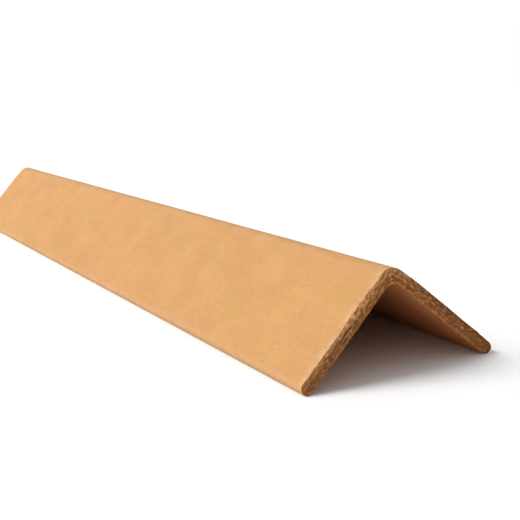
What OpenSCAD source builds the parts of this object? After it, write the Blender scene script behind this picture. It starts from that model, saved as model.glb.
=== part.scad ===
// Pallet edge protector: one laminated paperboard angle, standing like a tent on the edges of its legs.
// X runs along the board, Z is up, and the origin lies under its middle on the surface it stands on.

/* [Board] */
// Length of the board
board_len = 600; // [100:10:2000]
// Width of each leg, from the line where the outer faces would meet to the leg's edge
leg_w = 60; // [30:1:120]
// Thickness of the glued plies
board_t = 5; // [2:0.1:8]
// Angle between the inner faces of the two legs
open_angle = 92; // [80:1:110]

/* [Roundings] */
// Radius of the bend on the outer face
outer_r = 6.5; // [2:0.1:12]
// Radius of the bend on the inner face
inner_r = 5; // [1:0.1:8]
// Radius at which the liner wraps round a leg's edge
wrap_r = 2.3; // [0.5:0.1:2.4]

/* [Hidden] */
$fn = 96;
kraft = [0.86, 0.67, 0.44];
half_angle = open_angle / 2;

// The wrapped edge keeps at least this narrow flat between its two roundings
least_edge_flat = 0.2;
edge_r = min(wrap_r, (board_t - least_edge_flat) / 2);
edge_start = leg_w - edge_r;

// How far along a leg each bend ends, from the sharp outer corner
outer_bend_end = outer_r / tan(half_angle);
inner_bend_end = (board_t + inner_r) / tan(half_angle);

// How far a cut runs clear of the board
cut_clear = outer_r;

// Height of the sharp outer corner over the lowest line of the wrapped edges
corner_z = edge_start * cos(half_angle) + (board_t - edge_r) * sin(half_angle) + edge_r;

// A leg is drawn along X from the sharp outer corner, with its outer face on the X axis
module flat_leg() {
    translate([0, -board_t]) square([leg_w, board_t]);
}

// The plies that fill the inner bend, before its round is taken out
module bend_fill() {
    translate([0, -board_t - inner_r]) square([inner_bend_end, board_t + inner_r]);
}

// What the round of the outer bend leaves off the leg
module outer_bend_waste() {
    difference() {
        translate([-cut_clear, -outer_r]) square([cut_clear + outer_bend_end, outer_r + cut_clear]);
        translate([outer_bend_end, -outer_r]) circle(outer_r);
    }
}

// What the wrapped liner leaves off the outer corner of the leg's edge
module edge_waste() {
    difference() {
        translate([edge_start, -edge_r]) square(edge_r + cut_clear);
        translate([edge_start, -edge_r]) circle(edge_r);
    }
}

// One leg with its half of the bend, leaning down from the sharp outer corner
module half_section() {
    intersection() {
        rotate(half_angle - 90)
            difference() {
                union() {
                    flat_leg();
                    bend_fill();
                }
                outer_bend_waste();
                translate([inner_bend_end, -board_t - inner_r]) circle(inner_r);
                edge_waste();
                translate([0, -board_t]) mirror([0, 1]) edge_waste();
            }
        translate([0, -leg_w - board_t]) square(leg_w + board_t);
    }
}

// Section across the board, with its sharp outer corner at the origin
module board_section() {
    half_section();
    mirror([1, 0]) half_section();
}

// The whole board: its section run along X
module angle_board() {
    color(kraft)
        translate([0, 0, corner_z])
        rotate([90, 0, 90])
        linear_extrude(board_len, center = true) board_section();
}

angle_board();
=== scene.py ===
"""Pallet edge protector: one laminated kraft paperboard angle, standing on the edges of its legs."""
import itertools
import math

import bpy
from mathutils import Matrix, Vector


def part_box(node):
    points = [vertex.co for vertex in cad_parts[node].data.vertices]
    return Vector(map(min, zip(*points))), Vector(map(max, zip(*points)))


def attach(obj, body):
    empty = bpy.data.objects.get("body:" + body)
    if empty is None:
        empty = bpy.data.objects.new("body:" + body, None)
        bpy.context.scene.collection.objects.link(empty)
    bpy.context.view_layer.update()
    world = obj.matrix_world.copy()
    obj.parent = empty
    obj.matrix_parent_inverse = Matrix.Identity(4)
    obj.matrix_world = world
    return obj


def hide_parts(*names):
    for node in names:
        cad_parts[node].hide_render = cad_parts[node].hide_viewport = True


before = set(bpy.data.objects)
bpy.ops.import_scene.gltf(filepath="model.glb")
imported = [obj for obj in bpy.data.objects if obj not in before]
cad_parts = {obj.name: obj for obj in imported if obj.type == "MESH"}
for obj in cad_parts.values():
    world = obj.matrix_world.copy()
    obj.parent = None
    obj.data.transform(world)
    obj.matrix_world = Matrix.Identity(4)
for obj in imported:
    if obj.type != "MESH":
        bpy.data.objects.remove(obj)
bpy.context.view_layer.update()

MM = 0.001

# The board as the frame has it, in metres
BOARD_NODE = "angle_board"
BOARD_LOW, BOARD_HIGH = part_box(BOARD_NODE)
BOARD_LENGTH = BOARD_HIGH.x - BOARD_LOW.x
LEG_WIDTH = 60 * MM
BOARD_THICKNESS = 5 * MM
HALF_ANGLE = math.radians(46)
OUTER_BEND = 6.5 * MM
INNER_BEND = 5 * MM
WRAP_ROUND = 2.3 * MM
PLY_THICKNESS = 0.45 * MM

# Length of the way round the outer face, from the ridge to the outermost line of a leg's edge
HALF_GIRTH = OUTER_BEND * (math.pi / 2 - HALF_ANGLE) + LEG_WIDTH - OUTER_BEND / math.tan(HALF_ANGLE)

# How the mesh of the board is divided
ROWS_ALONG = 61
COLUMNS_ACROSS = 381
ROWS_THROUGH = 45
ROW_CROWDING = 2.4
BEND_SHARE = 0.14
WRAP_START = 0.95

# How far the pressed sheet strays from a perfect one
SHEET_WAVE = 0.2 * MM
SHEET_COCKLE = 0.04 * MM
EDGE_WANDER = 0.25 * MM
BEND_CREASE = 0.12 * MM
END_SPREAD = 0.35 * MM
END_SPREAD_REACH = 12 * MM
SPREAD_OPENS = (5 * MM, 14 * MM)
SPREAD_CLOSES = (46 * MM, 56 * MM)
CREASES_FADE = (2 * MM, 9 * MM)
STILL_EDGES = (0.6, 1.0)
WANDERING_EDGES = (0.8, 1.0)
SHARP_EDGE = math.radians(50)

# How rough the saw leaves the ends
CUT_REACH = 2.5 * MM
CUT_SETBACK = 0.25 * MM
CUT_UNEVEN = 0.25 * MM
PLY_SETBACK = 0.3 * MM
PLY_WOBBLE = 0.35 * MM
GLUE_GROOVE = 0.12 * MM
CUT_GRAIN = 0.2 * MM
LUMP_HEIGHT = 0.4 * MM
LUMPS_CALM = (20 * MM, 50 * MM)
LUMPS_FROM_RIM = (0.3 * MM, 1.3 * MM)
PLIES_LOOSEN = (0.2 * MM, 1.2 * MM)
SAW_AND_LIGHT_CHANGE = (2 * MM, 14 * MM)
LINER_TATTER = 0.9 * MM
LINER_DEPTH = 0.7 * MM
INNER_TATTER = 0.25
OUTER_RIM_ROUND = 0.6 * MM
OUTER_RIM_DEPTH = 1.7 * MM
SAW_ENTRY_WEAR = 0.3
INNER_RIM_ROUND = 0.35 * MM
INNER_RIM_DEPTH = 1.0 * MM
SPLIT_TAPER = 2.5 * MM
SPLIT_WOBBLE = 0.5 * MM
SPLIT_LEAST = 0.01 * MM
SPLIT_FLOOR = 0.4
SPLIT_LIP = 2.2
LIPPED_GAPS = (0.5 * MM, 2 * MM)
RIM_TEAR_DEPTH = 1.8 * MM
RIM_TEAR_TAPER = 6 * MM

# Where plies have come apart: end of the board, start and stop round the section from the ridge, depth
# under the outer face, half width and how deep the gap runs in, all but the first in millimetres
PLY_SPLITS = [
    (1, -34.0, -24.5, 2.1, 0.5, 1.25),
    (1, -42.5, -32.0, 2.0, 0.25, 0.7),
    (1, -2.4, 0.6, 1.1, 0.55, 1.5),
    (1, -8.5, -4.0, 0.9, 0.3, 0.8),
    (1, -55.0, -52.5, 0.8, 0.4, 0.8),
    (1, 5.5, 9.0, 1.7, 0.3, 0.6),
    (1, 14.0, 18.0, 0.8, 0.3, 0.6),
    (1, 20.5, 28.5, 3.2, 0.2, 0.5),
    (1, 29.0, 35.0, 1.6, 0.25, 0.7),
    (-1, 17.0, 39.0, 2.5, 0.4, 1.8),
    (-1, 44.0, 50.0, 1.3, 0.3, 0.8),
    (-1, -1.0, 4.0, 3.4, 0.35, 1.0),
    (-1, -22.0, -9.0, 3.3, 0.3, 1.1),
    (-1, -51.0, -38.0, 1.5, 0.35, 1.4),
]

# Where the outer liner and the plies under it are torn back from a cut: end of the board, start and stop
# round the section from the ridge, and how far back, all but the first in millimetres
RIM_TEARS = [
    (1, -31.0, -8.5, 0.8),
    (1, -7.0, 6.0, 0.5),
    (1, 34.0, 50.0, 0.5),
    (-1, 10.0, 27.0, 1.0),
    (-1, -49.0, -31.0, 0.8),
]

# Where pale fibres are torn up in a bunch: end of the board, way round the section from the ridge, depth
# under the outer face and radius, all but the first in millimetres
PALE_TUFTS = [
    (1, -23.8, 1.2, 0.9),
    (1, -16.3, 0.5, 0.8),
    (1, -1.2, 1.9, 0.7),
    (1, 41.2, 2.6, 0.7),
    (-1, 16.5, 2.2, 0.9),
    (-1, -37.0, 1.1, 0.8),
]
TUFT_CORE = 0.3

# Torn paper on the ends
TEAR_SEED = 7
FIBRES_PER_SQUARE_METRE = 1_200_000
FIBRE_LENGTH = 0.8 * MM
FIBRE_ROOT = 0.028 * MM
FIBRE_SIDES = 4
FIBRE_LIFT = 0.35
FIBRE_SIZES = (0.4, 1.3)
FLAKES_PER_SQUARE_METRE = 40_000
FLAKE_SIZE = (1.1 * MM, 0.28 * MM, 0.05 * MM)
FLAKE_CURL = 0.2 / MM
FLAKE_LIFT = 0.2
FLAKE_SIZES = (0.4, 1.2)
TEAR_ASTRAY = 0.4
TEARS_AT_TUFTS = 6.0
FLOOR_CLEAR = 1.2 * MM
EDGE_CLEAR = 1.5 * MM

# Grain of the papers, in waves per metre along x, y and z
LINER_HUE_GRAIN = (50, 85, 85)
LINER_CLOUD_GRAIN = (38, 55, 55)
LINER_ROLLER_GRAIN = (9, 420, 420)
LINER_FELT_GRAIN = (320, 900, 900)
LINER_FUZZ_GRAIN = (1800, 3200, 3200)
LINER_RUB_GRAIN = (90, 200, 200)
LINER_BIT_GRAIN = (150, 240, 240)
LINER_SHIVE_GRAIN = (110, 420, 420)
TORN_FELT_GRAIN = (900, 900, 900)
TORN_FUZZ_GRAIN = (5000, 5000, 5000)
FLOOR_GRAIN = (3, 3, 3)

# Grain of the sheet, in waves per metre along the board and round it
WAVE_GRAIN = (11, 26, 1)
COCKLE_GRAIN = (60, 75, 1)
WANDER_GRAIN = (22, 0, 1)
CREASE_GRAIN = (14, 1100, 1)

# Grain of the cuts, in waves per metre round the section and through it, then how far the two ends differ.
# A ply's tone has its second number for each ply
PLY_TONE_GRAIN = (60, 5.7, 3)
PLY_STRAY_GRAIN = (120, 350, 3)
STREAK_GRAIN = (240, 2200, 3)
LUMP_GRAIN = (520, 1000, 3)
CUT_FELT_GRAIN = (1100, 3000, 3)
CUT_FUZZ_GRAIN = (3600, 5200, 3)
CRUMB_GRAIN = (600, 1700, 3)
FRAY_GRAIN = (500, 500, 3)
UNEVEN_GRAIN = (70, 160, 3)
ROUGH_GRAIN = (1500, 1500, 3)
TATTER_GRAIN = (300, 300, 3)
RIM_TEAR_GRAIN = (450, 700, 3)
SPLIT_GRAIN = (260, 900, 5)

# Where each finish, painted highlight and painted shade starts and stops: from the middle of the length,
# from the ridge, from the outer face or from the nearest liner
CUT_RUB = (BOARD_LENGTH / 2 - 8 * MM, BOARD_LENGTH / 2 - 1 * MM)
RIDGE_SHEEN_AND_RUB = (1 * MM, 7 * MM)
EDGE_RUB = (HALF_GIRTH - 4 * MM, HALF_GIRTH - 1 * MM)
LINER_SEAM = (BOARD_THICKNESS - 0.3 * MM, BOARD_THICKNESS - 0.1 * MM)
SEAM_WANDER = 0.5 * MM
PALER_BEND = (3 * MM, 35 * MM)
PALER_PLIES = (2.5 * MM, 4.5 * MM)
LINER_FRAY = 1.6 * MM
LIT_LINER_BAND = (1.9 * MM, 3.4 * MM)
PLAIN_TIP = (46 * MM, 56 * MM)
SHADED_RIM = (1.4 * MM, 2.6 * MM)
RIM_SHADE_GROWS = (15 * MM, 40 * MM)
INNER_LINER = (0.9 * MM, 1.3 * MM)
DARK_GAP = (0.3 * MM, 1.3 * MM)
LINER_RELIEF = 0.12 * MM
CUT_RELIEF = 0.3 * MM

# Colours, linear
KRAFT_TAN = (0.588, 0.322, 0.104, 1)
KRAFT_ROSE = (0.598, 0.292, 0.122, 1)
KRAFT_DEEP = (0.470, 0.236, 0.078, 1)
KRAFT_WORN_AND_SHEEN = (0.605, 0.362, 0.195, 1)
KRAFT_SPECK = (0.300, 0.140, 0.050, 1)
KRAFT_SHIVE = (0.640, 0.400, 0.180, 1)
INNER_KRAFT_SHADED = (0.560, 0.213, 0.067, 1)
INNER_DEEP_SHADED = (0.380, 0.134, 0.040, 1)
PLY_GAP_SHADE = (0.150, 0.050, 0.012, 1)
PLY_RIM_SHADE = (0.110, 0.045, 0.019, 1)
PLY_DARK = (0.170, 0.058, 0.018, 1)
PLY_BROWN = (0.405, 0.151, 0.043, 1)
PLY_PALE = (0.630, 0.290, 0.090, 1)
LIT_LINER_EDGE = (0.620, 0.335, 0.135, 1)
INNER_LINER_EDGE = (0.500, 0.205, 0.090, 1)
TORN_DARK = (0.420, 0.180, 0.062, 1)
TORN_PALE = (0.690, 0.400, 0.170, 1)
TUFT_PALE = (0.800, 0.520, 0.260, 1)
FLOOR_WHITE = (0.910, 0.910, 0.910, 1)
FLOOR_GREY = (0.895, 0.895, 0.895, 1)

# The camera, as fitted to the outline of the board in the photograph
CAMERA_PLACE = Vector((0.675468, -0.215097, 0.133761))
CAMERA_YAW = math.radians(23.252)
CAMERA_PITCH = math.radians(11.016)
CAMERA_ROLL = math.radians(-5.816)
FOCAL_PIXELS = 1169.32
IMAGE_PIXELS = 520
SENSOR_MM = 36.0
NEAREST_SEEN = 0.01

# The studio
FLOOR_HALF = 6.0
KEY_FROM = Vector((-0.45, -0.75, 0.95))
KEY_STRENGTH = 2.75
KEY_SPREAD = math.radians(40)
SIDE_PLACE = Vector((-0.75, -0.7, 0.55))
SIDE_AIM = Vector((-0.3, 0.0, 0.02))
SIDE_SIZE = 0.5
SIDE_WATTS = 1.5
SKY_SEEN = 1.05
SKY_LIGHT = 0.5


class Bench:
    """Lays nodes into one tree. A socket takes a number, a colour or another node's output."""

    def __init__(self, tree):
        self.tree = tree

    def feed(self, socket, value):
        if isinstance(value, bpy.types.NodeSocket):
            self.tree.links.new(value, socket)
        else:
            socket.default_value = value

    def node(self, kind, sockets=None, **settings):
        made = self.tree.nodes.new(kind)
        for name, value in settings.items():
            setattr(made, name, value)
        for name, value in (sockets or {}).items():
            self.feed(live(made.inputs, name), value)
        return made

    def math(self, operation, *values):
        made = self.node("ShaderNodeMath", operation=operation)
        for socket, value in zip(made.inputs, values):
            self.feed(socket, value)
        return made.outputs[0]

    def vector_math(self, operation, *values):
        made = self.node("ShaderNodeVectorMath", operation=operation)
        for socket, value in zip(made.inputs, values):
            self.feed(socket, value)
        return made.outputs[0]

    def scaled(self, vector, factor):
        sockets = {"Vector": vector, "Scale": factor}
        return self.node("ShaderNodeVectorMath", sockets, operation="SCALE").outputs[0]

    def length(self, vector):
        return self.node("ShaderNodeVectorMath", {"Vector": vector}, operation="LENGTH").outputs["Value"]

    def total(self, *values):
        result = values[0]
        for value in values[1:]:
            result = self.math("ADD", result, value)
        return result

    def product(self, *values):
        result = values[0]
        for value in values[1:]:
            result = self.math("MULTIPLY", result, value)
        return result

    def vector(self, x, y, z):
        return self.node("ShaderNodeCombineXYZ", {"X": x, "Y": y, "Z": z}).outputs[0]

    def parts(self, vector):
        return self.node("ShaderNodeSeparateXYZ", {"Vector": vector}).outputs

    def remap(self, value, low, high, to_low=0.0, to_high=1.0, smooth=False):
        sockets = {"Value": value, "From Min": low, "From Max": high, "To Min": to_low, "To Max": to_high}
        shape = "SMOOTHSTEP" if smooth else "LINEAR"
        return self.node("ShaderNodeMapRange", sockets, interpolation_type=shape).outputs["Result"]

    def noise(self, vector, stretch, detail=2.0, roughness=0.5):
        place = self.vector_math("MULTIPLY", vector, stretch)
        sockets = {"Vector": place, "Scale": 1.0, "Detail": detail, "Roughness": roughness}
        return self.node("ShaderNodeTexNoise", sockets).outputs["Fac"]

    def colours(self, factor, first, second):
        sockets = {"Factor": factor, "A": first, "B": second}
        return live(self.node("ShaderNodeMix", sockets, data_type="RGBA").outputs, "Result")

    def carried(self, name, output):
        return self.node("ShaderNodeAttribute", attribute_name=name).outputs[output]

    def stored(self, name, kind):
        return self.node("GeometryNodeInputNamedAttribute", {"Name": name}, data_type=kind).outputs[0]

    def position(self):
        return self.node("GeometryNodeInputPosition").outputs[0]

    def group(self, tree, sockets):
        kind = "ShaderNodeGroup" if tree.bl_idname == "ShaderNodeTree" else "GeometryNodeGroup"
        return self.node(kind, sockets, node_tree=tree).outputs


def live(sockets, name):
    """The socket of that name that the node's settings have switched on."""
    return next(socket for socket in sockets if socket.name == name and socket.enabled)


def new_tree(name, kind, takes, gives):
    """A node tree with named inputs and outputs, its bench, and its inner ends."""
    tree = bpy.data.node_groups.new(name, kind)
    for socket_name, socket_kind in takes.items():
        tree.interface.new_socket(socket_name, in_out="INPUT", socket_type="NodeSocket" + socket_kind)
    for socket_name, socket_kind in gives.items():
        tree.interface.new_socket(socket_name, in_out="OUTPUT", socket_type="NodeSocket" + socket_kind)
    bench = Bench(tree)
    return bench, bench.node("NodeGroupInput").outputs, bench.node("NodeGroupOutput").inputs


def set_inputs(modifier, values):
    """Sets a Geometry Nodes modifier's inputs, each by its socket's identifier."""
    for item in modifier.node_group.interface.items_tree:
        if item.item_type == "SOCKET" and item.in_out == "INPUT" and item.name in values:
            modifier[item.identifier] = values[item.name]


def grown(name, start_mesh, tree, values):
    """A plain mesh object holding what the tree makes of the start mesh."""
    seedling = bpy.data.objects.new(name + "_seedling", start_mesh)
    bpy.context.scene.collection.objects.link(seedling)
    modifier = seedling.modifiers.new(name, "NODES")
    modifier.node_group = tree
    set_inputs(modifier, values)
    depsgraph = bpy.context.evaluated_depsgraph_get()
    mesh = bpy.data.meshes.new_from_object(seedling.evaluated_get(depsgraph), depsgraph=depsgraph)
    mesh.name = name
    bpy.data.objects.remove(seedling)
    piece = bpy.data.objects.new(name, mesh)
    bpy.context.scene.collection.objects.link(piece)
    return piece


# Shared looks of paper

def paper_fibre_group():
    """Felted fibres, longer one way than the other: their tone and their height."""
    takes = {"Vector": "Vector", "Grain": "Vector", "Fine Grain": "Vector"}
    gives = {"Tone": "Float", "Height": "Float"}
    bench, given, out = new_tree("paper_fibres", "ShaderNodeTree", takes, gives)
    felt = bench.noise(given["Vector"], given["Grain"], detail=4.0, roughness=0.65)
    fuzz = bench.noise(given["Vector"], given["Fine Grain"], detail=2.0)
    mixed = bench.math("MULTIPLY_ADD", fuzz, 0.4, bench.math("MULTIPLY", felt, 0.6))
    bench.feed(out["Tone"], bench.remap(mixed, 0.35, 0.65))
    bench.feed(out["Height"], bench.math("MULTIPLY_ADD", fuzz, 0.5, bench.math("MULTIPLY", felt, 0.5)))
    return bench.tree


def paper_speck_group():
    """Odd bits in recycled pulp, one in some of the cells of a loose grid."""
    takes = {"Vector": "Vector", "Stretch": "Vector", "Size": "Float", "Share": "Float"}
    bench, given, out = new_tree("paper_specks", "ShaderNodeTree", takes, {"Mask": "Float"})
    place = bench.vector_math("MULTIPLY", given["Vector"], given["Stretch"])
    cells = bench.node("ShaderNodeTexVoronoi", {"Vector": place, "Scale": 1.0}).outputs
    core = bench.math("MULTIPLY", given["Size"], 0.5)
    dot = bench.remap(cells["Distance"], core, given["Size"], 1.0, 0.0)
    chosen = bench.math("LESS_THAN", bench.parts(cells["Color"])["X"], given["Share"])
    bench.feed(out["Mask"], bench.math("MULTIPLY", dot, chosen))
    return bench.tree


def new_material(name):
    """A material with an empty tree apart from its shader, that shader, and the tree's bench."""
    material = bpy.data.materials.new(name)
    material.use_nodes = True
    shader = material.node_tree.nodes["Principled BSDF"]
    return material, shader.inputs, Bench(material.node_tree)


def bumped(bench, surface, height, depth, strength):
    """Puts a height on a shader's Normal."""
    sockets = {"Height": height, "Distance": depth, "Strength": strength}
    bench.feed(surface["Normal"], bench.node("ShaderNodeBump", sockets).outputs["Normal"])


def kraft_liner_material(fibres, specks):
    """The papers on the faces: tan outside and round the edges of the legs, browner inside, where the brown
    is partly the paper's own and partly painted shade.
    """
    material, surface, bench = new_material("kraft_liner")
    place = bench.node("ShaderNodeTexCoord").outputs["Object"]
    path, depth, _ = bench.parts(bench.carried("ply_place", "Vector"))
    hue = bench.noise(place, LINER_HUE_GRAIN, detail=3.0)
    cloud = bench.noise(place, LINER_CLOUD_GRAIN, detail=5.0, roughness=0.6)
    rolled = bench.noise(place, LINER_ROLLER_GRAIN, detail=3.0)
    felt = bench.group(fibres, {"Vector": place, "Grain": LINER_FELT_GRAIN, "Fine Grain": LINER_FUZZ_GRAIN})
    bits = bench.group(specks, {"Vector": place, "Stretch": LINER_BIT_GRAIN, "Size": 0.11, "Share": 0.25})
    splinters = {"Vector": place, "Stretch": LINER_SHIVE_GRAIN, "Size": 0.16, "Share": 0.25}
    shives = bench.group(specks, splinters)

    # Clouds in the pulp, felted fibres and faint lines along the board from the rollers that formed it
    murk = bench.total(
        bench.remap(cloud, 0.35, 0.65, 0.4, 0.0),
        bench.remap(felt["Tone"], 0.0, 1.0, 0.5, 0.0),
        bench.remap(rolled, 0.35, 0.65, 0.12, 0.0),
    )
    outer = bench.colours(bench.remap(hue, 0.35, 0.65), KRAFT_TAN, KRAFT_ROSE)
    outer = bench.colours(murk, outer, KRAFT_DEEP)

    # Rubbed pale along the cut and the edges of the legs, and paler along the ridge as rubbing and a
    # painted highlight
    from_middle = bench.math("ABSOLUTE", bench.parts(place)["X"])
    from_ridge = bench.math("ABSOLUTE", path)
    by_cut = bench.remap(from_middle, *CUT_RUB, 0.0, 0.9, smooth=True)
    ridge_sheen_and_rub = bench.remap(from_ridge, *RIDGE_SHEEN_AND_RUB, 0.35, 0.0, smooth=True)
    by_edge = bench.remap(from_ridge, *EDGE_RUB, 0.0, 0.4, smooth=True)
    rub_and_sheen = bench.math("MAXIMUM", by_cut, bench.math("MAXIMUM", ridge_sheen_and_rub, by_edge))
    patchy = bench.remap(bench.noise(place, LINER_RUB_GRAIN, detail=4.0), 0.35, 0.6)
    outer = bench.colours(bench.math("MULTIPLY", rub_and_sheen, patchy), outer, KRAFT_WORN_AND_SHEEN)

    # The inner liner: a browner paper, darkened and reddened further as painted shade for the hollow
    # between the legs
    inner = bench.colours(murk, INNER_KRAFT_SHADED, INNER_DEEP_SHADED)
    inside = bench.remap(bench.math("MULTIPLY_ADD", cloud, SEAM_WANDER, depth), *LINER_SEAM)
    colour = bench.colours(inside, outer, inner)
    colour = bench.colours(bench.math("MULTIPLY", shives["Mask"], 0.25), colour, KRAFT_SHIVE)
    colour = bench.colours(bench.math("MULTIPLY", bits["Mask"], 0.45), colour, KRAFT_SPECK)

    bench.feed(surface["Base Color"], colour)
    bench.feed(surface["Roughness"], bench.remap(felt["Height"], 0.3, 0.7, 0.86, 0.7))
    surface["Specular IOR Level"].default_value = 0.3
    bumped(bench, surface, bench.math("MULTIPLY_ADD", rolled, 0.4, felt["Height"]), LINER_RELIEF, 0.35)
    return material


def ply_layers(bench, place):
    """In a cut, the tone of the ply at each point, and how near the point lies to the glue beside it."""
    path, depth, end = bench.parts(place)
    layers = bench.math("DIVIDE", depth, PLY_THICKNESS)
    tone = bench.noise(bench.vector(path, bench.math("FLOOR", layers), end), PLY_TONE_GRAIN)
    off_middle = bench.math("ABSOLUTE", bench.math("SUBTRACT", bench.math("FRACT", layers), 0.5))
    return bench.remap(tone, 0.3, 0.7), bench.remap(off_middle, 0.28, 0.5)


def saw_exit_lit_leg(bench, path):
    """1 on the ridge and the -Y leg, where the saw exits the board and which face the key light, and 0 on
    the +Y leg, where the saw comes in.
    """
    return bench.remap(path, *SAW_AND_LIGHT_CHANGE, 1.0, 0.0, smooth=True)


def torn_lumps(bench, place):
    """How far up the saw tore each point of a cut, about 0.5 all over and most mixed by the bend."""
    lumps = bench.noise(place, LUMP_GRAIN, detail=4.0, roughness=0.65)
    mixed = bench.remap(bench.math("ABSOLUTE", bench.parts(place)["X"]), *LUMPS_CALM, 1.0, 0.5)
    return bench.math("MULTIPLY_ADD", bench.math("SUBTRACT", lumps, 0.5), mixed, 0.5)


def cut_plies_material(fibres, specks):
    """The sawn ends: brown plies with dark glue between them, pale where torn, and the liners' edges."""
    material, surface, bench = new_material("cut_plies")
    place = bench.carried("ply_place", "Vector")
    gap = bench.carried("ply_gap", "Fac")
    tuft = bench.carried("tuft", "Fac")
    path, depth, _ = bench.parts(place)
    from_ridge = bench.math("ABSOLUTE", path)
    ply_tone, glue = ply_layers(bench, place)
    streak = bench.noise(place, STREAK_GRAIN, detail=4.0, roughness=0.7)
    lumps = torn_lumps(bench, place)
    felt = bench.group(fibres, {"Vector": place, "Grain": CUT_FELT_GRAIN, "Fine Grain": CUT_FUZZ_GRAIN})
    crumbs = bench.group(specks, {"Vector": place, "Stretch": CRUMB_GRAIN, "Size": 0.3, "Share": 0.14})

    # Paler near the bend and in the outer plies, the upper part of the cut: painted light from above
    painted_top_light = bench.product(
        bench.remap(from_ridge, *PALER_BEND, 0.35, 0.0),
        bench.remap(depth, *PALER_PLIES, 1.0, 0.0),
    )
    brown = bench.total(
        bench.remap(streak, 0.38, 0.6, -0.1, 0.5),
        bench.math("MULTIPLY", ply_tone, 0.4),
        painted_top_light,
    )
    colour = bench.colours(brown, PLY_DARK, PLY_BROWN)
    # Paler where the cut is torn up; darker where it sinks, as painted shade in the hollows
    colour = bench.colours(bench.remap(lumps, 0.5, 0.62, 0.0, 0.85), colour, PLY_PALE)
    colour = bench.colours(bench.remap(lumps, 0.38, 0.5, 0.75, 0.0), colour, PLY_DARK)
    colour = bench.colours(bench.remap(felt["Tone"], 0.55, 1.0, 0.0, 0.5), colour, PLY_PALE)
    glue_shows = bench.math("MULTIPLY", glue, bench.remap(lumps, 0.4, 0.6, 0.8, 0.1))
    colour = bench.colours(glue_shows, colour, PLY_DARK)

    # The outer liner also runs round the edge of the leg, and its pale edge shows at the rim of the cut. On
    # the ridge and the -Y leg that band is widened as a painted highlight where the rim faces the key
    # light, and the rim of the +Y leg is darkened as painted shade, more towards its tip
    frayed = bench.math("MULTIPLY", bench.noise(place, FRAY_GRAIN, detail=3.0), LINER_FRAY)
    to_edge = bench.math("SUBTRACT", HALF_GIRTH, from_ridge)
    to_liner = bench.math("ADD", bench.math("MINIMUM", depth, to_edge), frayed)
    lit_leg = saw_exit_lit_leg(bench, path)
    # The pale liner edge, widened on the ridge and the -Y leg: partly the liner's own colour, partly a
    # painted highlight where the rim faces the key light
    liner_edge_and_highlight = bench.product(
        bench.remap(to_liner, *LIT_LINER_BAND, 0.75, 0.0),
        lit_leg,
        bench.remap(lumps, 0.36, 0.6, 0.15, 1.0),
        bench.remap(from_ridge, *PLAIN_TIP, 1.0, 0.35),
    )
    # Darker rim on the +Y leg, more towards its tip: painted shade
    painted_shade_rim = bench.product(
        bench.remap(to_liner, *SHADED_RIM, 0.9, 0.0),
        bench.math("SUBTRACT", 1.0, lit_leg),
        bench.remap(lumps, 0.43, 0.57, 1.0, 0.2),
        bench.remap(from_ridge, *RIM_SHADE_GROWS, 0.65, 1.0),
    )
    colour = bench.colours(painted_shade_rim, colour, PLY_RIM_SHADE)
    colour = bench.colours(bench.math("MULTIPLY", crumbs["Mask"], 0.7), colour, TORN_PALE)
    colour = bench.colours(liner_edge_and_highlight, colour, LIT_LINER_EDGE)
    inner_depth = bench.math("SUBTRACT", BOARD_THICKNESS, depth)
    inner_rim = bench.remap(bench.math("ADD", inner_depth, frayed), *INNER_LINER, 0.7, 0.0)
    colour = bench.colours(inner_rim, colour, INNER_LINER_EDGE)
    torn = bench.math("MULTIPLY", tuft, bench.remap(felt["Tone"], 0.3, 0.7, 0.4, 1.0))
    colour = bench.colours(torn, colour, TUFT_PALE)
    # Darker down the gaps between plies: painted shade
    colour = bench.colours(bench.remap(gap, *DARK_GAP, 0.0, 0.85), colour, PLY_GAP_SHADE)

    bench.feed(surface["Base Color"], colour)
    bench.feed(surface["Roughness"], bench.remap(felt["Height"], 0.3, 0.7, 1.0, 0.85))
    surface["Specular IOR Level"].default_value = 0.15
    bumped(bench, surface, bench.total(felt["Height"], streak), CUT_RELIEF, 0.7)
    return material


def torn_fibre_material(fibres):
    """Loose fibres and flakes, each with its own tone."""
    material, surface, bench = new_material("torn_fibre")
    place = bench.node("ShaderNodeTexCoord").outputs["Object"]
    own_tone = bench.carried("tear_tone", "Fac")
    felt = bench.group(fibres, {"Vector": place, "Grain": TORN_FELT_GRAIN, "Fine Grain": TORN_FUZZ_GRAIN})
    tone = bench.math("MULTIPLY_ADD", felt["Tone"], 0.3, bench.math("MULTIPLY", own_tone, 0.7))
    bench.feed(surface["Base Color"], bench.colours(tone, TORN_DARK, TORN_PALE))
    bench.feed(surface["Roughness"], bench.remap(felt["Height"], 0.3, 0.7, 1.0, 0.85))
    surface["Specular IOR Level"].default_value = 0.15
    return material


def studio_floor_material():
    """Pale floor with a faint unevenness."""
    material, surface, bench = new_material("studio_floor")
    place = bench.node("ShaderNodeTexCoord").outputs["Object"]
    cloud = bench.noise(place, FLOOR_GRAIN, detail=3.0)
    bench.feed(surface["Base Color"], bench.colours(cloud, FLOOR_GREY, FLOOR_WHITE))
    bench.feed(surface["Roughness"], bench.remap(cloud, 0.3, 0.7, 0.85, 0.95))
    return material


# The board

SECTION_SIZES = ["Leg Width", "Thickness", "Half Angle", "Outer Bend", "Inner Bend", "Wrap Round"]


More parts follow.
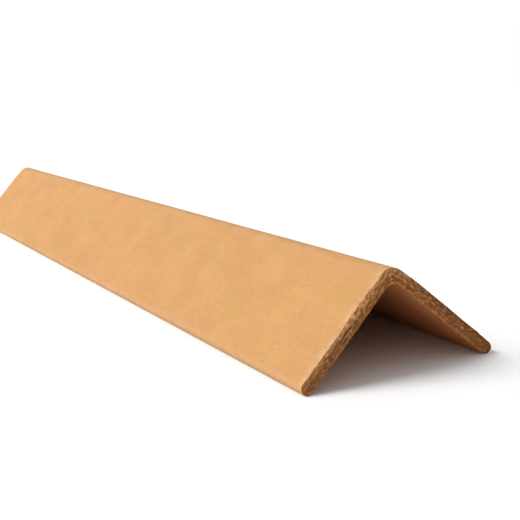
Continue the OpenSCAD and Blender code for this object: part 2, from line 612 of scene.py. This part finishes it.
def board_section_tree():
    """Where a point of the flat sheet goes when the sheet is bent.

    Across runs from -1 at one leg's edge to 1 at the other's, and Share from 0 on the outer face to 1 on
    the inner one. Path is the way round the outer face from the ridge, and Depth the way in from that face.
    """
    takes = {"Across": "Float", "Share": "Float", **dict.fromkeys(SECTION_SIZES, "Float")}
    gives = {"Place": "Vector", "Outward": "Vector", "Down Leg": "Vector", "Leg Share": "Float",
             "Path": "Float", "Depth": "Float"}
    bench, given, out = new_tree("board_section", "GeometryNodeTree", takes, gives)
    math_of = bench.math
    share, thickness, lean = given["Share"], given["Thickness"], given["Half Angle"]
    sine, cosine, tangent = (math_of(name, lean) for name in ("SINE", "COSINE", "TANGENT"))
    side = math_of("SIGN", given["Across"])
    away = math_of("ABSOLUTE", given["Across"])

    # The sheet turns over the bend, runs down the leg and wraps round its edge
    turn = bench.remap(away, 0.0, BEND_SHARE, 0.0, math_of("SUBTRACT", math.pi / 2, lean))
    run = bench.remap(away, BEND_SHARE, WRAP_START)
    wrap = bench.remap(away, WRAP_START, 1.0, 0.0, math.pi / 2)

    edge_start = math_of("SUBTRACT", given["Leg Width"], given["Wrap Round"])
    wrap_out = math_of("MULTIPLY", given["Wrap Round"], math_of("SINE", wrap))
    wrap_in = math_of("MULTIPLY", given["Wrap Round"], math_of("SUBTRACT", 1.0, math_of("COSINE", wrap)))
    fold = math_of("MULTIPLY", wrap_in, math_of("MULTIPLY_ADD", share, -2.0, 1.0))

    # Radius of the bend and depth of the sheet at this share of the thickness
    bend_change = math_of("SUBTRACT", given["Inner Bend"], given["Outer Bend"])
    radius = math_of("MULTIPLY_ADD", share, bend_change, given["Outer Bend"])
    sunk = math_of("MULTIPLY", share, thickness)
    reach = math_of("ADD", sunk, radius)
    leg_run = math_of("SUBTRACT", edge_start, math_of("DIVIDE", reach, tangent))
    along = math_of("MULTIPLY_ADD", run, leg_run, wrap_out)

    # The sharp corner where the outer faces would meet stands over the lowest line of the wrapped edges
    corner = bench.total(
        math_of("MULTIPLY", edge_start, cosine),
        math_of("MULTIPLY", math_of("SUBTRACT", thickness, given["Wrap Round"]), sine),
        given["Wrap Round"],
    )
    turn_sine, turn_cosine = math_of("SINE", turn), math_of("COSINE", turn)
    sideways = math_of("SUBTRACT",
                       math_of("MULTIPLY_ADD", radius, turn_sine, math_of("MULTIPLY", along, sine)),
                       math_of("MULTIPLY", fold, cosine))
    fall = bench.total(math_of("DIVIDE", reach, sine), math_of("MULTIPLY", along, cosine),
                       math_of("MULTIPLY", fold, sine))
    height = math_of("SUBTRACT", math_of("MULTIPLY_ADD", radius, turn_cosine, corner), fall)

    outer_run = math_of("SUBTRACT", edge_start, math_of("DIVIDE", given["Outer Bend"], tangent))
    outer_turn = math_of("MULTIPLY", given["Outer Bend"], turn)
    path = bench.total(outer_turn, math_of("MULTIPLY", run, outer_run), wrap_out)
    bench.feed(out["Place"], bench.vector(0.0, math_of("MULTIPLY", side, sideways), height))
    bench.feed(out["Outward"], bench.vector(0.0, math_of("MULTIPLY", side, turn_sine), turn_cosine))
    drop = math_of("MULTIPLY", turn_sine, -1.0)
    bench.feed(out["Down Leg"], bench.vector(0.0, math_of("MULTIPLY", side, turn_cosine), drop))
    bench.feed(out["Leg Share"], run)
    bench.feed(out["Path"], math_of("MULTIPLY", side, path))
    bench.feed(out["Depth"], math_of("ADD", sunk, fold))
    return bench.tree


STRETCH_ENDS = ["Path", "End", "At End", "Start", "Stop"]


def stretch_of(bench, given, taper):
    """1 along a stretch of one cut end, fading to 0 at its start and its stop."""
    math_of = bench.math
    start, stop = given["Start"], given["Stop"]
    opens = bench.remap(given["Path"], start, math_of("ADD", start, taper), smooth=True)
    closes = bench.remap(given["Path"], math_of("SUBTRACT", stop, taper), stop, 1.0, 0.0, smooth=True)
    here = math_of("GREATER_THAN", math_of("MULTIPLY", given["End"], given["At End"]), 0.0)
    return bench.product(opens, closes, here)


def rim_tear_tree():
    """How far one tear sets the outer rim of a cut back."""
    takes = dict.fromkeys([*STRETCH_ENDS, "Reach"], "Float")
    bench, given, out = new_tree("rim_tear", "GeometryNodeTree", takes, {"Recess": "Float"})
    length = stretch_of(bench, given, RIM_TEAR_TAPER)
    bench.feed(out["Recess"], bench.math("MULTIPLY", length, given["Reach"]))
    return bench.tree


def rim_tears(bench, path, depth, end):
    """All tears in the outer rims of both ends."""
    reach = 0.0
    tear_tree = rim_tear_tree()
    for at_end, start, stop, far in RIM_TEARS:
        sockets = {"Path": path, "End": end, "At End": at_end, "Start": start * MM, "Stop": stop * MM,
                   "Reach": far * MM}
        reach = bench.math("MAXIMUM", reach, bench.group(tear_tree, sockets)["Recess"])
    rags = bench.noise(bench.vector(path, depth, end), RIM_TEAR_GRAIN, detail=3.0)
    ragged = bench.remap(rags, 0.3, 0.65, 0.5, 1.15)
    by_rim = bench.remap(depth, 0.0, RIM_TEAR_DEPTH, 1.0, 0.0)
    return bench.product(reach, ragged, by_rim)


def ply_split_tree():
    """How far one gap between plies runs into a cut end, and the torn lips on both its sides."""
    takes = dict.fromkeys([*STRETCH_ENDS, "Depth", "Level", "Half Width", "Gap"], "Float")
    gives = {"Recess": "Float", "Lip": "Float"}
    bench, given, out = new_tree("ply_split", "GeometryNodeTree", takes, gives)
    math_of = bench.math
    length = stretch_of(bench, given, SPLIT_TAPER)
    wander = bench.noise(bench.vector(given["Path"], given["Level"], given["At End"]), SPLIT_GRAIN)
    level = math_of("MULTIPLY_ADD", math_of("SUBTRACT", wander, 0.5), SPLIT_WOBBLE, given["Level"])
    off = math_of("ABSOLUTE", math_of("SUBTRACT", given["Depth"], level))
    width = math_of("MULTIPLY_ADD", given["Half Width"], length, SPLIT_LEAST)
    across = bench.remap(off, math_of("MULTIPLY", width, SPLIT_FLOOR), width, 1.0, 0.0)
    bench.feed(out["Recess"], bench.product(across, length, given["Gap"]))
    beside = bench.remap(off, width, math_of("MULTIPLY", width, SPLIT_LIP), 1.0, 0.0)
    torn = math_of("MULTIPLY", length, bench.remap(given["Gap"], *LIPPED_GAPS, 0.15, 1.0))
    bench.feed(out["Lip"], math_of("MULTIPLY", math_of("SUBTRACT", beside, across), torn))
    return bench.tree


def ply_splits(bench, path, depth, end):
    """All gaps between plies on both ends: how far they run in, and their torn lips."""
    recess, lip = 0.0, 0.0
    split_tree = ply_split_tree()
    for at_end, start, stop, level, half_width, gap in PLY_SPLITS:
        sizes = {"Start": start, "Stop": stop, "Level": level, "Half Width": half_width, "Gap": gap}
        sockets = {"Path": path, "Depth": depth, "End": end, "At End": at_end}
        sockets.update({name: size * MM for name, size in sizes.items()})
        split = bench.group(split_tree, sockets)
        recess = bench.math("MAXIMUM", recess, split["Recess"])
        lip = bench.math("MAXIMUM", lip, split["Lip"])
    return recess, lip


def pale_tufts(bench, path, depth, end):
    """1 in the middle of each bunch of torn pale fibres, fading to 0 at its edge."""
    tuft = 0.0
    for at_end, at_path, at_depth, radius in PALE_TUFTS:
        off_path = bench.math("SUBTRACT", path, at_path * MM)
        off_depth = bench.math("SUBTRACT", depth, at_depth * MM)
        off = bench.length(bench.vector(off_path, off_depth, 0.0))
        here = bench.math("GREATER_THAN", bench.math("MULTIPLY", end, at_end), 0.0)
        near = bench.remap(off, TUFT_CORE * radius * MM, radius * MM, 1.0, 0.0, smooth=True)
        tuft = bench.math("MAXIMUM", tuft, bench.math("MULTIPLY", near, here))
    return tuft


def rounded_over(bench, depth, reach, far):
    """How far a rim of the cut is worn back, most at the face and nothing at the reach."""
    share = bench.remap(depth, 0.0, reach, 1.0, 0.0)
    return bench.product(share, share, far)


def cut_recess(bench, place, depth, thickness, broken):
    """How far each point of a cut end lies behind the plane of the saw."""
    ply_tone, glue = ply_layers(bench, place)
    uneven = bench.noise(place, UNEVEN_GRAIN)
    grain = bench.noise(place, ROUGH_GRAIN)
    inner_depth = bench.math("SUBTRACT", thickness, depth)
    outer_rim = bench.remap(depth, 0.0, LINER_DEPTH, 1.0, 0.0)
    inner_rim = bench.remap(inner_depth, 0.0, LINER_DEPTH, INNER_TATTER, 0.0)
    rim = bench.math("ADD", outer_rim, inner_rim)
    # The rim is worn more on the ridge and the -Y leg, where the saw exits
    wear = bench.remap(saw_exit_lit_leg(bench, bench.parts(place)["X"]), 0.0, 1.0, SAW_ENTRY_WEAR, 1.0)
    tatter = bench.remap(bench.noise(place, TATTER_GRAIN, detail=4.0, roughness=0.65), 0.48, 0.75)
    sunk = bench.remap(torn_lumps(bench, place), 0.35, 0.65, LUMP_HEIGHT, 0.0)
    within = bench.remap(bench.math("MINIMUM", depth, inner_depth), *LUMPS_FROM_RIM, 0.2, 1.0)
    return bench.total(
        CUT_SETBACK,
        bench.math("MULTIPLY", uneven, CUT_UNEVEN),
        bench.math("MULTIPLY", ply_tone, PLY_SETBACK),
        bench.math("MULTIPLY", glue, GLUE_GROOVE),
        bench.math("MULTIPLY", grain, CUT_GRAIN),
        bench.math("MULTIPLY", sunk, within),
        bench.product(rim, tatter, LINER_TATTER),
        bench.math("MULTIPLY", rounded_over(bench, depth, OUTER_RIM_DEPTH, OUTER_RIM_ROUND), wear),
        rounded_over(bench, inner_depth, INNER_RIM_DEPTH, INNER_RIM_ROUND),
        broken,
    )


def kept(bench, geometry, name, kind, value, domain="POINT"):
    """Keeps a value on the mesh under a name, for the materials and the torn paper."""
    sockets = {"Geometry": geometry, "Name": name, "Value": value}
    return bench.node("GeometryNodeStoreNamedAttribute", sockets, data_type=kind, domain=domain).outputs[0]


def laminated_board_tree(liner, plies):
    """A flat sheet, divided finely near its ends, that is bent, warped a little and sawn off roughly."""
    takes = {"Geometry": "Geometry", "Length": "Float", "Rows Along": "Int", "Columns Across": "Int",
             "Rows Through": "Int", **dict.fromkeys(SECTION_SIZES, "Float")}
    bench, given, out = new_tree("laminated_board", "GeometryNodeTree", takes, {"Geometry": "Geometry"})
    math_of = bench.math

    divisions = {"Size": (2, 2, 1), "Vertices X": given["Rows Along"],
                 "Vertices Y": given["Columns Across"], "Vertices Z": given["Rows Through"]}
    sheet = bench.node("GeometryNodeMeshCube", divisions).outputs["Mesh"]
    facing = bench.node("GeometryNodeInputNormal").outputs["Normal"]
    faces_end = math_of("ABSOLUTE", bench.parts(facing)["X"])
    sheet = kept(bench, sheet, "sawn", "BOOLEAN", math_of("GREATER_THAN", faces_end, 0.5), "FACE")
    sheet = kept(bench, sheet, "flat", "FLOAT_VECTOR", bench.position())
    flat_x, flat_y, flat_z = bench.parts(bench.stored("flat", "FLOAT_VECTOR"))

    end = math_of("SIGN", flat_x)
    crowding = math_of("POWER", math_of("SUBTRACT", 1.0, math_of("ABSOLUTE", flat_x)), ROW_CROWDING)
    half_length = math_of("MULTIPLY", given["Length"], 0.5)
    from_end = math_of("MULTIPLY", crowding, half_length)
    along = math_of("MULTIPLY", end, math_of("SUBTRACT", half_length, from_end))
    sizes = {name: given[name] for name in SECTION_SIZES}
    share = math_of("SUBTRACT", 0.5, flat_z)
    section = bench.group(board_section_tree(), {"Across": flat_y, "Share": share, **sizes})
    bent = bench.vector_math("ADD", bench.vector(along, 0.0, 0.0), section["Place"])

    # The pressed sheet waves a little and its edges wander, both to the inside of the perfect form
    over_sheet = bench.vector(along, section["Path"], 0.0)
    still_edges = bench.remap(section["Leg Share"], *STILL_EDGES, 1.0, 0.0, smooth=True)
    wave = math_of("MULTIPLY", bench.noise(over_sheet, WAVE_GRAIN, detail=1.0), SHEET_WAVE)
    cockle = math_of("MULTIPLY", bench.noise(over_sheet, COCKLE_GRAIN, detail=2.0), SHEET_COCKLE)
    sink = math_of("MULTIPLY", math_of("ADD", wave, cockle), math_of("MULTIPLY", still_edges, -1.0))
    edge_share = bench.remap(section["Leg Share"], *WANDERING_EDGES, smooth=True)
    wander = math_of("MULTIPLY", bench.noise(over_sheet, WANDER_GRAIN, detail=3.0), -EDGE_WANDER)

    # The paper is creased along the inside of the bend
    off_ridge = math_of("ABSOLUTE", section["Path"])
    in_bend = bench.remap(off_ridge, *CREASES_FADE, 1.0, 0.0, smooth=True)
    on_inside = bench.remap(share, 0.9, 1.0)
    creases = bench.remap(bench.noise(over_sheet, CREASE_GRAIN, detail=1.0), 0.4, 0.7, 0.0, BEND_CREASE)
    creases = math_of("MULTIPLY", creases, math_of("MULTIPLY", in_bend, on_inside))

    # At each end the plies of one leg have spread a little
    down_leg = math_of("MULTIPLY", bench.remap(off_ridge, *SPREAD_OPENS, smooth=True),
                       bench.remap(off_ridge, *SPREAD_CLOSES, 1.0, 0.0, smooth=True))
    one_leg = math_of("GREATER_THAN", math_of("MULTIPLY", flat_x, flat_y), 0.0)
    by_end = bench.remap(from_end, 0.0, END_SPREAD_REACH, END_SPREAD, 0.0, smooth=True)
    spread = math_of("MULTIPLY", math_of("MULTIPLY", by_end, down_leg),
                     math_of("MULTIPLY", one_leg, math_of("SUBTRACT", 1.0, share)))
    warp = bench.vector_math("ADD", bench.scaled(section["Outward"], bench.total(sink, creases, spread)),
                             bench.scaled(section["Down Leg"], math_of("MULTIPLY", wander, edge_share)))

    # The plies lie a little unevenly between the two liners
    depth = section["Depth"]
    to_liner = math_of("MINIMUM", depth, math_of("SUBTRACT", given["Thickness"], depth))
    loose = bench.remap(to_liner, *PLIES_LOOSEN, 0.0, PLY_WOBBLE)
    stray = bench.noise(bench.vector(section["Path"], depth, end), PLY_STRAY_GRAIN)
    laid_depth = math_of("MULTIPLY_ADD", math_of("SUBTRACT", stray, 0.5), loose, depth)
    ply_place = bench.vector(section["Path"], laid_depth, end)
    split, split_lip = ply_splits(bench, section["Path"], depth, end)
    tears = rim_tears(bench, section["Path"], depth, end)
    recess = cut_recess(bench, ply_place, depth, given["Thickness"], math_of("ADD", split, tears))
    near_end = bench.remap(from_end, 0.0, CUT_REACH, 1.0, 0.0, smooth=True)
    setback = math_of("MULTIPLY", math_of("MULTIPLY", recess, near_end), math_of("MULTIPLY", end, -1.0))
    place = bench.vector_math("ADD", bench.vector_math("ADD", bent, warp), bench.vector(setback, 0.0, 0.0))

    sheet = kept(bench, sheet, "ply_place", "FLOAT_VECTOR", ply_place)
    sheet = kept(bench, sheet, "ply_run", "FLOAT_VECTOR", section["Down Leg"])
    tuft = math_of("MAXIMUM", split_lip, pale_tufts(bench, section["Path"], depth, end))
    sheet = kept(bench, sheet, "ply_gap", "FLOAT", split)
    sheet = kept(bench, sheet, "tuft", "FLOAT", tuft)
    board = bench.node("GeometryNodeSetPosition", {"Geometry": sheet, "Position": place}).outputs[0]
    board = bench.node("GeometryNodeRemoveAttribute", {"Geometry": board, "Name": "flat"}).outputs[0]
    fold_angle = bench.node("GeometryNodeInputMeshEdgeAngle").outputs[0]
    sharp = math_of("GREATER_THAN", fold_angle, SHARP_EDGE)
    board = bench.node("GeometryNodeSetShadeSmooth", {"Geometry": board, "Shade Smooth": True}).outputs[0]
    sharpened = {"Geometry": board, "Selection": sharp, "Shade Smooth": False}
    board = bench.node("GeometryNodeSetShadeSmooth", sharpened, domain="EDGE").outputs[0]

    board = bench.node("GeometryNodeRealizeInstances", {"Geometry": board}).outputs[0]
    board = bench.node("GeometryNodeSetMaterial", {"Geometry": board, "Material": liner}).outputs[0]
    ends = {"Geometry": board, "Selection": bench.stored("sawn", "BOOLEAN"), "Material": plies}
    board = bench.node("GeometryNodeSetMaterial", ends).outputs[0]
    bench.feed(out["Geometry"], board)
    return bench.tree


# Torn paper on the ends

def drawn(bench, low, high, seed, kind="FLOAT"):
    """A random value for each point."""
    sockets = {"Min": low, "Max": high, "Seed": seed}
    return live(bench.node("FunctionNodeRandomValue", sockets, data_type=kind).outputs, "Value")


def scattered(bench, ends, shape, per_area, seeds, lift, sizes):
    """Copies of one torn shape on the ends, lying roughly along the plies and lifting off them."""
    from_ridge = bench.math("ABSOLUTE", bench.parts(bench.stored("ply_place", "FLOAT_VECTOR"))["X"])
    off_floor = bench.math("GREATER_THAN", bench.parts(bench.position())["Z"], FLOOR_CLEAR)
    off_edge = bench.math("LESS_THAN", from_ridge, HALF_GIRTH - EDGE_CLEAR)
    crowd = bench.math("MULTIPLY_ADD", bench.stored("tuft", "FLOAT"), TEARS_AT_TUFTS, 1.0)
    density = bench.math("MULTIPLY", per_area, crowd)
    density = bench.math("MULTIPLY", density, bench.math("MULTIPLY", off_floor, off_edge))
    sockets = {"Mesh": ends, "Density": density, "Seed": next(seeds)}
    spread = bench.node("GeometryNodeDistributePointsOnFaces", sockets).outputs
    points = kept(bench, spread["Points"], "tear_tone", "FLOAT", drawn(bench, 0.0, 1.0, next(seeds)))
    either_way = bench.math("SIGN", drawn(bench, -1.0, 1.0, next(seeds)))
    along_ply = bench.scaled(bench.stored("ply_run", "FLOAT_VECTOR"), either_way)
    low, high = (0, -TEAR_ASTRAY, -TEAR_ASTRAY), (0, TEAR_ASTRAY, TEAR_ASTRAY)
    astray = drawn(bench, low, high, next(seeds), "FLOAT_VECTOR")
    raised = bench.scaled(spread["Normal"], drawn(bench, 0.0, lift, next(seeds)))
    lie = bench.vector_math("ADD", bench.vector_math("ADD", along_ply, astray), raised)
    turned = bench.node("FunctionNodeAlignRotationToVector", {"Vector": lie}, axis="X").outputs[0]
    sockets = {"Rotation": turned, "Vector": spread["Normal"]}
    turned = bench.node("FunctionNodeAlignRotationToVector", sockets, axis="Z", pivot_axis="X").outputs[0]
    size = drawn(bench, *sizes, next(seeds))
    scale = bench.vector(size, size, size)
    sockets = {"Points": points, "Instance": shape, "Rotation": turned, "Scale": scale}
    return bench.node("GeometryNodeInstanceOnPoints", sockets).outputs[0]


def torn_paper_tree(torn):
    """Fine fibres and curled flakes, thick on the sawn ends of a board."""
    takes = {"Geometry": "Geometry", "Fibre Length": "Float", "Fibre Root": "Float",
             "Fibres Per Area": "Float", "Flake Size": "Vector", "Flake Curl": "Float",
             "Flakes Per Area": "Float", "Seed": "Int"}
    bench, given, out = new_tree("torn_paper", "GeometryNodeTree", takes, {"Geometry": "Geometry"})
    sockets = {"Geometry": given["Geometry"], "Selection": bench.stored("sawn", "BOOLEAN")}
    ends = bench.node("GeometryNodeSeparateGeometry", sockets, domain="FACE").outputs["Selection"]
    seeds = (bench.math("ADD", given["Seed"], step) for step in itertools.count())

    cone = {"Vertices": FIBRE_SIDES, "Radius Top": 0.0, "Radius Bottom": given["Fibre Root"],
            "Depth": given["Fibre Length"]}
    fibre = bench.node("GeometryNodeMeshCone", cone).outputs["Mesh"]
    lain_down = {"Geometry": fibre, "Rotation": (0, math.pi / 2, 0)}
    fibre = bench.node("GeometryNodeTransform", lain_down).outputs[0]

    slab = {"Size": given["Flake Size"], "Vertices X": 5, "Vertices Y": 2, "Vertices Z": 2}
    flake = bench.node("GeometryNodeMeshCube", slab).outputs["Mesh"]
    along = bench.parts(bench.position())["X"]
    curl = bench.product(along, along, given["Flake Curl"])
    curled = {"Geometry": flake, "Offset": bench.vector(0.0, 0.0, curl)}
    flake = bench.node("GeometryNodeSetPosition", curled).outputs[0]

    fibres = scattered(bench, ends, fibre, given["Fibres Per Area"], seeds, FIBRE_LIFT, FIBRE_SIZES)
    flakes = scattered(bench, ends, flake, given["Flakes Per Area"], seeds, FLAKE_LIFT, FLAKE_SIZES)
    join = bench.node("GeometryNodeJoinGeometry")
    bench.feed(join.inputs[0], fibres)
    bench.feed(join.inputs[0], flakes)
    tears = bench.node("GeometryNodeRealizeInstances", {"Geometry": join.outputs[0]}).outputs[0]
    tears = bench.node("GeometryNodeSetMaterial", {"Geometry": tears, "Material": torn}).outputs[0]
    bench.feed(out["Geometry"], tears)
    return bench.tree


# The studio

def camera_matrix():
    """Looks from the fitted place along the fitted yaw, pitch and roll."""
    level = math.cos(CAMERA_PITCH)
    forward = Vector((-math.cos(CAMERA_YAW) * level, math.sin(CAMERA_YAW) * level, -math.sin(CAMERA_PITCH)))
    right = forward.cross(Vector((0, 0, 1))).normalized()
    up = right.cross(forward)
    rolled_right = math.cos(CAMERA_ROLL) * right + math.sin(CAMERA_ROLL) * up
    rolled_up = math.cos(CAMERA_ROLL) * up - math.sin(CAMERA_ROLL) * right
    turn = Matrix((rolled_right, rolled_up, -forward)).transposed()
    return Matrix.Translation(CAMERA_PLACE) @ turn.to_4x4()


def set_camera():
    camera = bpy.data.cameras.new("photo_camera")
    camera.sensor_width = SENSOR_MM
    camera.lens = FOCAL_PIXELS / IMAGE_PIXELS * SENSOR_MM
    camera.clip_start = NEAREST_SEEN
    holder = bpy.data.objects.new("photo_camera", camera)
    holder.matrix_world = camera_matrix()
    bpy.context.scene.collection.objects.link(holder)
    bpy.context.scene.camera = holder


def lay_floor():
    half = FLOOR_HALF
    mesh = bpy.data.meshes.new("studio_floor")
    corners = [(-half, -half, 0), (half, -half, 0), (half, half, 0), (-half, half, 0)]
    mesh.from_pydata(corners, [], [(0, 1, 2, 3)])
    mesh.materials.append(studio_floor_material())
    floor = bpy.data.objects.new("studio_floor", mesh)
    bpy.context.scene.collection.objects.link(floor)


def hang_light(lamp, place, aim):
    holder = bpy.data.objects.new(lamp.name, lamp)
    holder.location = place
    holder.rotation_euler = (aim - place).to_track_quat("-Z", "Y").to_euler()
    bpy.context.scene.collection.objects.link(holder)


def hang_lights():
    """A broad even key from the side that the photograph shows lit, and a little more on the far end."""
    key = bpy.data.lights.new("broad_key", "SUN")
    key.energy = KEY_STRENGTH
    key.angle = KEY_SPREAD
    hang_light(key, KEY_FROM, Vector((0, 0, 0)))
    side = bpy.data.lights.new("side_softbox", "AREA")
    side.size = SIDE_SIZE
    side.energy = SIDE_WATTS
    hang_light(side, SIDE_PLACE, SIDE_AIM)


def light_sky():
    """An even pale surround, brighter to the camera than the light that it gives."""
    world = bpy.data.worlds.new("studio_surround")
    bpy.context.scene.world = world
    world.use_nodes = True
    bench = Bench(world.node_tree)
    seen = bench.node("ShaderNodeLightPath").outputs["Is Camera Ray"]
    strength = bench.remap(seen, 0.0, 1.0, SKY_LIGHT, SKY_SEEN)
    background = world.node_tree.nodes["Background"].inputs
    background["Color"].default_value = (1, 1, 1, 1)
    bench.feed(background["Strength"], strength)


def build():
    fibres = paper_fibre_group()
    specks = paper_speck_group()
    liner = kraft_liner_material(fibres, specks)
    plies = cut_plies_material(fibres, specks)
    torn = torn_fibre_material(fibres)

    board_sizes = {
        "Length": BOARD_LENGTH, "Rows Along": ROWS_ALONG, "Columns Across": COLUMNS_ACROSS,
        "Rows Through": ROWS_THROUGH, "Leg Width": LEG_WIDTH, "Thickness": BOARD_THICKNESS,
        "Half Angle": HALF_ANGLE, "Outer Bend": OUTER_BEND, "Inner Bend": INNER_BEND,
        "Wrap Round": WRAP_ROUND,
    }
    empty_mesh = bpy.data.meshes.new("board_start")
    board = grown("laminated_board", empty_mesh, laminated_board_tree(liner, plies), board_sizes)
    bpy.data.meshes.remove(empty_mesh)
    tear_sizes = {
        "Fibre Length": FIBRE_LENGTH, "Fibre Root": FIBRE_ROOT, "Fibres Per Area": FIBRES_PER_SQUARE_METRE,
        "Flake Size": FLAKE_SIZE, "Flake Curl": FLAKE_CURL, "Flakes Per Area": FLAKES_PER_SQUARE_METRE,
        "Seed": TEAR_SEED,
    }
    tears = grown("torn_paper", board.data, torn_paper_tree(torn), tear_sizes)
    for piece in (board, tears):
        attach(piece, "root")
    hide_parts(BOARD_NODE)


build()
set_camera()
lay_floor()
hang_lights()
light_sky()
bpy.context.scene.view_settings.view_transform = "Standard"
